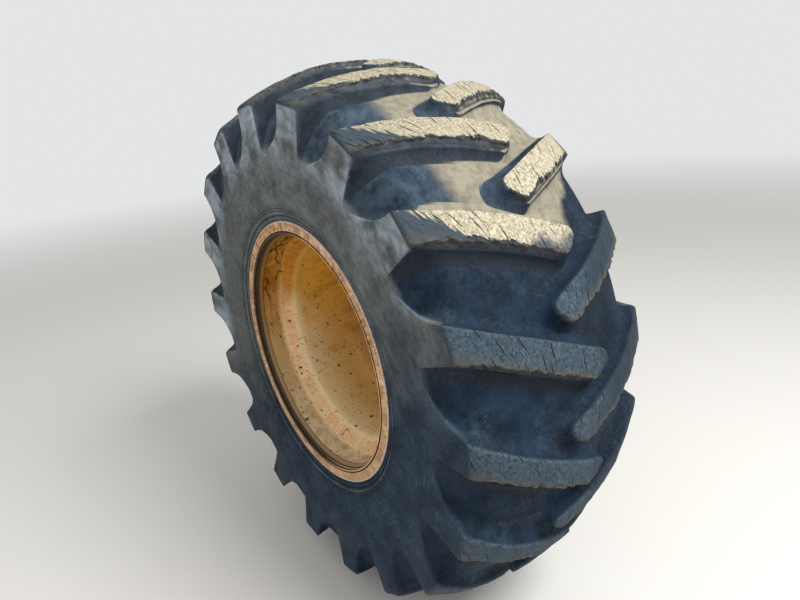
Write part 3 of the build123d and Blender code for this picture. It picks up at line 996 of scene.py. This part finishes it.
def weld_tree():
    """Geometry nodes: a bead laid round a circle in overlapping ripples."""
    tree = bpy.data.node_groups.new("Weld bead", "GeometryNodeTree")
    given = tree_inputs(
        tree, ("Radius", "Float"), ("Side", "Float"), ("Thickness", "Float"), ("Ripples", "Int"),
        ("Ripple Height", "Float"), ("Seed", "Float"), ("Metal", "Material"))
    columns = put(tree, "Math MULTIPLY", [given["Ripples"], 4.0])
    circle = put(tree, "CurvePrimitiveCircle", {"Resolution": columns, "Radius": given["Radius"]})
    outline = put(tree, "CurvePrimitiveCircle", {"Resolution": 14, "Radius": given["Thickness"]})
    bead = put(tree, "CurveToMesh", {"Curve": circle, "Profile Curve": outline})
    shift = put(tree, "CombineXYZ", [0, given["Side"]])
    stood = put(
        tree, "Transform", {"Geometry": bead, "Translation": shift, "Rotation": (math.pi / 2, 0, 0)})
    place = put(tree, "InputPosition")
    parts = put(tree, "SeparateXYZ", [place])
    angle = put(tree, "Math ARCTAN2", [parts.outputs[2], parts.outputs[0]])
    turns = put(tree, "Math MULTIPLY", [angle, 1 / (2 * math.pi)])
    uneven = put(tree, "TexNoise", [place, given["Seed"], 40.0], noise_dimensions="4D")
    count = put(tree, "Math MULTIPLY_ADD", [turns, given["Ripples"], uneven])
    saw = put(tree, "Math FRACT", [count])
    hump = put(tree, "Math MULTIPLY", [saw, saw])
    rough = put(tree, "Math ADD", [hump, uneven])
    height = put(tree, "Math MULTIPLY", [rough, given["Ripple Height"]])
    push = put(tree, "VectorMath SCALE", [put(tree, "InputNormal"), height])
    moved = put(tree, "SetPosition", {"Geometry": stood, "Offset": push})
    smooth_faces = put(tree, "SetShadeSmooth", {"Geometry": moved})
    dressed = put(tree, "SetMaterial", {"Geometry": smooth_faces, "Material": given["Metal"]})
    real = put(tree, "RealizeInstances", [dressed])
    put(tree, "GroupOutput", [real])
    return tree


def grown(obj, tree, values):
    """Runs a geometry nodes tree on an object and leaves its result as a plain mesh."""
    modifier = obj.modifiers.new(tree.name, "NODES")
    modifier.node_group = tree
    for item in tree.interface.items_tree:
        if item.in_out == "INPUT" and item.name in values:
            modifier[item.identifier] = values[item.name]
    graph = bpy.context.evaluated_depsgraph_get()
    graph.update()
    mesh = bpy.data.meshes.new_from_object(
        obj.evaluated_get(graph), preserve_all_data_layers=True, depsgraph=graph)
    obj.modifiers.clear()
    obj.data = mesh
    mesh.name = obj.name
    return obj


def lug_rings(rubber):
    """The two rings of lugs, half a pitch apart."""
    points, faces, layers = lug_mesh()
    tree = lug_ring_tree()
    same = {"Count": lug_count, "Chip Depth": chip_depth * MM, "Chip Size": chip_size * MM,
            "Wear Depth": wear_depth * MM, "Wear Size": wear_size * MM, "Rubber": rubber}
    rings = []
    sides = (("outer_lugs", 1, lug_phase + pitch / 2, 3.0), ("inner_lugs", -1, lug_phase, 11.0))
    for name, flip, first, seed in sides:
        own = points.copy()
        own[:, 1] = (own[:, 1] + hub_offset) * flip - hub_offset
        ring = mesh_object(name, own, faces, layers)
        face_outward(ring)
        rings.append(grown(ring, tree, {**same, "First Angle": first, "Seed": seed}))
    return rings


# Moulded rings on the sidewall: radius, height and half width
sidewall_rings = ((452.0, -1.6, 2.0), (465.0, -2.2, 2.2), (474.5, 1.8, 3.2), (484.0, 0.9, 1.4),
                  (492.0, 0.7, 1.2), (572.0, 1.0, 1.5), (604.0, 0.8, 1.5))


def tyre_casing(rubber):
    """Casing between and under the lugs, with both sidewalls, the beads and the hollow inside."""
    lip_front = (lip_radius + 0.6, half_lip - 3.0)
    bulge = ((lip_front[0] + widest_radius) / 2, (half_lip + widest_side) / 2 + 8)
    low_wall = arc(lip_front, bulge, (widest_radius, widest_side), 60)
    # The rows lie closer below a radius of 505, where the moulded rings are
    radii = np.concatenate([np.linspace(widest_radius, 506, 44), np.linspace(504, lip_front[0], 46)])
    sides = np.interp(radii, low_wall[:, 0], low_wall[:, 1])
    for radius, height, half_width in sidewall_rings:
        sides += height * np.exp(-np.square((radii - radius) / half_width))
    bead = [(447.3, half_lip - 15), (433.4, half_rim - 0.3), (bead_radius, half_rim - 0.3),
            (bead_radius, half_rim - 46.3)]
    bead_top = (bead_radius + 40, half_rim - 36.3)
    inner_wide = (widest_radius, widest_side - sidewall_wall)
    inner_bulge = ((bead_top[0] + widest_radius) / 2, (bead_top[1] + inner_wide[1]) / 2 + 8)
    inner_top = (outer_radius - lug_depth - crown_wall, 0)
    half = np.vstack([
        casing_half(),
        np.column_stack([radii, sides]),
        bead,
        arc(bead_top, inner_bulge, inner_wide, 10),
        arc((inner_shoulder_radius, inner_shoulder_side), inner_top,
            (inner_shoulder_radius, -inner_shoulder_side), 24)[:13],
    ])
    casing = turned("tyre_casing", np.vstack([half, half[-2:0:-1] * (1, -1)]), tyre_columns)
    casing.data.materials.append(rubber)
    return casing


# Rim

def drop_centre_rim(enamel):
    """Rim barrel: bead seats, slopes and the deep well, rolled from one plate."""
    seat_end = half_rim - seat_length
    bends = ((seat_radius, -seat_end, outer_slope_run), (well_radius, outer_well_end, outer_slope_run),
             (well_radius, inner_well_end, inner_slope_run), (seat_radius, seat_end, inner_slope_run))
    outside = [(bead_radius - 0.3, -half_rim, 1.0)]
    inside = [(bead_radius - 0.3 - rim_wall, -half_rim, 1.0)]
    for radius, side, slope_run in bends:
        on_seat = radius == seat_radius
        half_turn = math.atan2(seat_radius - well_radius, slope_run) / 2
        outside.append((radius, side, bend_round + rim_wall * on_seat))
        inside.append((radius - rim_wall, side + math.copysign(rim_wall * math.tan(half_turn), side),
                       bend_round + rim_wall * (not on_seat)))
    outside.append((bead_radius - 0.3, half_rim, 1.0))
    inside.append((bead_radius - 0.3 - rim_wall, half_rim, 1.0))
    rim = turned("drop_centre_rim", rounded(outside + inside[::-1], 8), rim_columns)
    rim.data.materials.append(enamel)
    return rim


def flange_ring(name, way, forged):
    """Heavy flange ring outside the bead: a rounded lip, a flat face, a narrow groove and a ridge."""
    face = half_lip - 1.4
    corners = [
        (bead_radius - 0.3 - rim_wall, half_rim, 0.5),
        (433.1, half_rim, 1.0),
        (lip_radius, half_lip - 15, 8.0),
        (lip_radius, half_lip, 4.5),
        (441.0, half_lip, 3.0),
        (438.5, face, 1.5),
        (415.2, face, 0.8),
        (414.6, face - 4, 0.5),
        (411.6, face - 4, 0.5),
        (411.0, face + 0.6, 0.8),
        (ridge_radius, face + 0.6, 3.0),
        (ridge_radius, half_lip - 7, 2.0),
        (ridge_radius + 4, half_lip - 10, 2.0),
        (ridge_radius + 4, half_lip - 14, 2.0),
        (ridge_radius - 1, half_lip - 19, 3.0),
        (ridge_radius - 2, half_lip - 24, 3.0),
    ]
    ring = turned(name, rounded(corners, 5) * np.array([1, way]), rim_columns)
    ring.data.materials.append(forged)
    return ring


def bolted_disc(enamel):
    """Flat disc with its pilot hole and bolt holes, all edges rounded off."""
    edge_round = 1.6 * MM
    outline = bpy.data.curves.new("disc_outline", "CURVE")
    outline.dimensions = "2D"
    outline.fill_mode = "BOTH"
    outline.extrude = (disc_high.y - disc_low.y) / 2 - edge_round
    outline.bevel_depth = edge_round
    outline.bevel_resolution = 3
    outline.offset = -edge_round
    circles = [(0.0, 0.0, disc_radius, 240), (0.0, 0.0, pilot_radius, 180)]
    for number in range(bolt_count):
        angle = 2 * math.pi * number / bolt_count
        x, y = bolt_circle_radius * math.cos(angle), bolt_circle_radius * math.sin(angle)
        circles.append((x, y, bolt_hole_radius, 40))
    for x, y, radius, count in circles:
        spline = outline.splines.new("POLY")
        spline.points.add(count - 1)
        for number, point in enumerate(spline.points):
            angle = 2 * math.pi * number / count
            point.co = ((x + radius * math.cos(angle)) * MM, (y + radius * math.sin(angle)) * MM, 0, 1)
        spline.use_cyclic_u = True
    curve = bpy.data.objects.new("disc_outline", outline)
    bpy.context.scene.collection.objects.link(curve)
    graph = bpy.context.evaluated_depsgraph_get()
    graph.update()
    mesh = bpy.data.meshes.new_from_object(curve.evaluated_get(graph), depsgraph=graph)
    bpy.data.objects.remove(curve)
    middle = (disc_low.y + disc_high.y) / 2
    mesh.transform(Matrix.Translation((0, middle, 0)) @ Matrix.Rotation(math.pi / 2, 4, "X"))
    mesh.name = "bolted_disc"
    disc = bpy.data.objects.new("bolted_disc", mesh)
    bpy.context.scene.collection.objects.link(disc)
    face_outward(disc)
    mesh.shade_smooth()
    mesh.set_sharp_from_angle(angle=math.radians(35))
    mesh.materials.clear()
    mesh.materials.append(enamel)
    return disc


def weld_beads(enamel):
    """Fillet welds between the disc and the barrel, one on each face of the disc."""
    tree = weld_tree()
    beads = []
    same = {"Radius": weld_radius * MM, "Thickness": weld_thickness * MM, "Ripples": weld_ripples,
            "Ripple Height": ripple_height * MM, "Metal": enamel}
    places = (("outer_weld", disc_low.y - weld_sink * MM, 2.0),
              ("inner_weld", disc_high.y + weld_sink * MM, 7.0))
    for name, side, seed in places:
        bead = grown(mesh_object(name, [(0, 0, 0)], []), tree, {**same, "Side": side, "Seed": seed})
        face_outward(bead)
        beads.append(bead)
    return beads


def on_valve(points):
    """Points given on the valve's own axis, moved to its place on the outer slope of the rim."""
    x, y, z = np.asarray(points, float).T
    tilt = valve_slope + math.pi
    radius = valve_place[0] + z * math.cos(tilt) - y * math.sin(tilt)
    side = valve_place[1] - hub_offset + z * math.sin(tilt) + y * math.cos(tilt)
    sweep = -x
    cos_v, sin_v = math.cos(valve_angle), math.sin(valve_angle)
    return np.column_stack([radius * cos_v - sweep * sin_v, side, radius * sin_v + sweep * cos_v])


def valve_body(name, rows, columns, material, shaped):
    """Closed body turned about the valve's axis from (height, radius) rows. shaped(height, radius,
    angle) gives the radius of its outline."""
    angle = np.arange(columns) * 2 * math.pi / columns
    height, radius = (np.array(part, float)[:, None] for part in zip(*rows))
    reach = shaped(height, radius, angle)
    ring = np.stack([reach * np.cos(angle), reach * np.sin(angle), height + 0 * angle], axis=-1)
    points = [*ring.reshape(-1, 3), (0, 0, rows[0][0]), (0, 0, rows[-1][0])]
    numbers = np.arange(len(rows) * columns).reshape(len(rows), columns)
    faces = quads(numbers)
    for middle, rim in ((len(points) - 2, numbers[0]), (len(points) - 1, numbers[-1])):
        faces += [(middle, start, after) for start, after in zip(rim.tolist(), np.roll(rim, -1).tolist())]
    body = mesh_object(name, on_valve(points), faces)
    face_outward(body)
    body.data.set_sharp_from_angle(angle=math.radians(35))
    body.data.materials.append(material)
    return body


def hexagon(height, radius, angle):
    """Six-sided outline whose corners are taken off at the nut's ends."""
    flat = nut_half_width / np.cos((angle + math.pi / 6) % (math.pi / 3) - math.pi / 6)
    return np.minimum(flat, radius)


def knurled(height, radius, angle):
    """Round outline with fine grooves along it."""
    return radius - knurl_depth * (radius > 9.0) * np.square(np.sin(knurl_count / 2 * angle))


def threaded(height, radius, angle):
    """Round outline with a fine screw thread."""
    turn = (height / thread_pitch - angle / (2 * math.pi)) % 1.0
    return radius - thread_depth * (1 - np.abs(2 * turn - 1)) * (height > 0)


def valve_pieces(brass, nylon):
    """Valve stem with its thread, hexagon nut and knurled cap."""
    thread = [(height, 8.0) for height in np.linspace(10.5, 43, 131)]
    stem = [(-6, 14), (-1, 15), (0, 14.5), (0.1, 8), *thread, (49, 7.4)]
    nut = [(10.3, 12.6), (11.2, 13.9), (12, 14.2), (17.6, 14.2), (18.4, 13.9), (19.3, 12.6), (19.3, 8.4)]
    cap = [(41.5, 8.4), (41.5, 9.2), (42.3, 9.5), (55.5, 9.5), (56.5, 9.3), (58.2, 7.4), (58.5, 6.4)]
    return (valve_body("threaded_stem", stem, 32, brass, threaded),
            valve_body("hexagon_nut", nut, 72, brass, hexagon),
            valve_body("knurled_cap", cap, 84, nylon, knurled))


# Camera at the photograph's place, from a fit to the rim's circles and the lug corners
camera_place = (1.64885, -1.2199, 0.78699)
camera_heading = math.radians(54.66)
camera_pitch = math.radians(19.27)
camera_roll = math.radians(-5.45)
focal_pixels = 587.8
photo_width = 800


def make_camera():
    """Camera with the photograph's place, heading, pitch, roll and focal length."""
    ahead = Vector((-math.sin(camera_heading) * math.cos(camera_pitch),
                    math.cos(camera_heading) * math.cos(camera_pitch), -math.sin(camera_pitch)))
    right = Vector((math.cos(camera_heading), math.sin(camera_heading), 0))
    up = right.cross(ahead)
    rolled_right = math.cos(camera_roll) * right + math.sin(camera_roll) * up
    rolled_up = -math.sin(camera_roll) * right + math.cos(camera_roll) * up
    data = bpy.data.cameras.new("camera")
    data.sensor_width = 36.0
    data.lens = data.sensor_width * focal_pixels / photo_width
    data.clip_end = 100
    camera = bpy.data.objects.new("camera", data)
    turn = Matrix((rolled_right, rolled_up, -ahead)).transposed()
    camera.matrix_world = Matrix.Translation(camera_place) @ turn.to_4x4()
    bpy.context.scene.collection.objects.link(camera)
    bpy.context.scene.camera = camera


def make_floor():
    """Pale floor that fades into the background."""
    level, columns, radii = tyre_low.z / MM, 96, (3000.0, 6000.0, 9000.0, 14000.0)
    points = [(0, 0, level)]
    for radius in radii:
        for angle in np.arange(columns) * 2 * math.pi / columns:
            points.append((radius * math.cos(angle), radius * math.sin(angle), level))
    numbers = 1 + np.arange(len(radii) * columns).reshape(len(radii), columns)
    first = numbers[0].tolist()
    fan = [(0, start, after) for start, after in zip(first, first[1:] + first[:1])]
    floor = mesh_object("floor", points, fan + quads(numbers))
    material, tree, shader = new_material("pale matt studio floor")
    shader.inputs["Base Color"].default_value = paint("#d8d6d1")
    shader.inputs["Roughness"].default_value = 0.9
    shader.inputs["Specular IOR Level"].default_value = 0.1
    spot = put(tree, "TexCoord").outputs["Object"]
    reach = put(tree, "VectorMath LENGTH", [spot])
    far = (reach, 4.0, 13.0)
    mix = put(tree, "MixShader", [far, shader, put(tree, "BsdfTransparent")])
    put(tree, "OutputMaterial", {"Surface": mix}, is_active_output=True)
    floor.data.materials.append(material)


def make_light():
    """Soft studio light: a pale world, a large key from behind on the machine's side, and a fill."""
    world = bpy.data.worlds.new("studio")
    world.use_nodes = True
    tree = world.node_tree
    tree.nodes.clear()
    ray = put(tree, "LightPath")
    seen = put(tree, "Math MAXIMUM", [ray.outputs["Is Camera Ray"], ray.outputs["Is Glossy Ray"]])
    seen = put(tree, "Math MAXIMUM", [seen, ray.outputs["Is Transmission Ray"]])
    light = put(tree, "Background", [paint("#ffffff"), 0.62])
    shown = put(tree, "Background", [paint("#e4e5e6"), 1.0])
    put(tree, "OutputWorld", [put(tree, "MixShader", [seen, light, shown])])
    bpy.context.scene.world = world
    lamps = (("key", (3.1, 0.7, 3.7), 2.0, 290), ("fill", (1.2, -4.0, 2.2), 3.5, 30))
    for name, place, size, power in lamps:
        data = bpy.data.lights.new(name, "AREA")
        data.size = size
        data.energy = power
        lamp = bpy.data.objects.new(name, data)
        lamp.location = place
        lamp.rotation_mode = "QUATERNION"
        lamp.rotation_quaternion = (Vector((0, -0.1, 0)) - Vector(place)).to_track_quat("-Z", "Y")
        lamp.visible_camera = False
        bpy.context.scene.collection.objects.link(lamp)


def finished(obj, slot, *nodes):
    """Puts a piece in place: it rides on the wheel and stands for its nodes, which it hides. Its slot is
    not used.
    """
    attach(obj, "root")
    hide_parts(*nodes)


rubber = rubber_material()
enamel = rim_material()
forged = flange_material()
brass = brass_material()
nylon = plastic_material()

for ring in lug_rings(rubber):
    finished(ring, "tyre_rubber", "tyre")
finished(tyre_casing(rubber), "tyre_rubber", "tyre")
finished(drop_centre_rim(enamel), "rim_paint", "rim_base")
finished(flange_ring("outer_flange", -1, forged), "flange_paint", "outer_flange_ring")
finished(flange_ring("inner_flange", 1, forged), "flange_paint", "inner_flange_ring")
finished(bolted_disc(enamel), "rim_paint", "disc")
outer_weld, inner_weld = weld_beads(enamel)
finished(outer_weld, "rim_paint", "outer_disc_weld")
finished(inner_weld, "rim_paint", "inner_disc_weld")
stem, nut, cap = valve_pieces(brass, nylon)
finished(stem, "valve_brass", "valve_stem")
finished(nut, "valve_brass", "valve_nut")
finished(cap, "valve_plastic", "valve_cap")

make_camera()
make_floor()
make_light()
bpy.context.scene.view_settings.view_transform = "Standard"
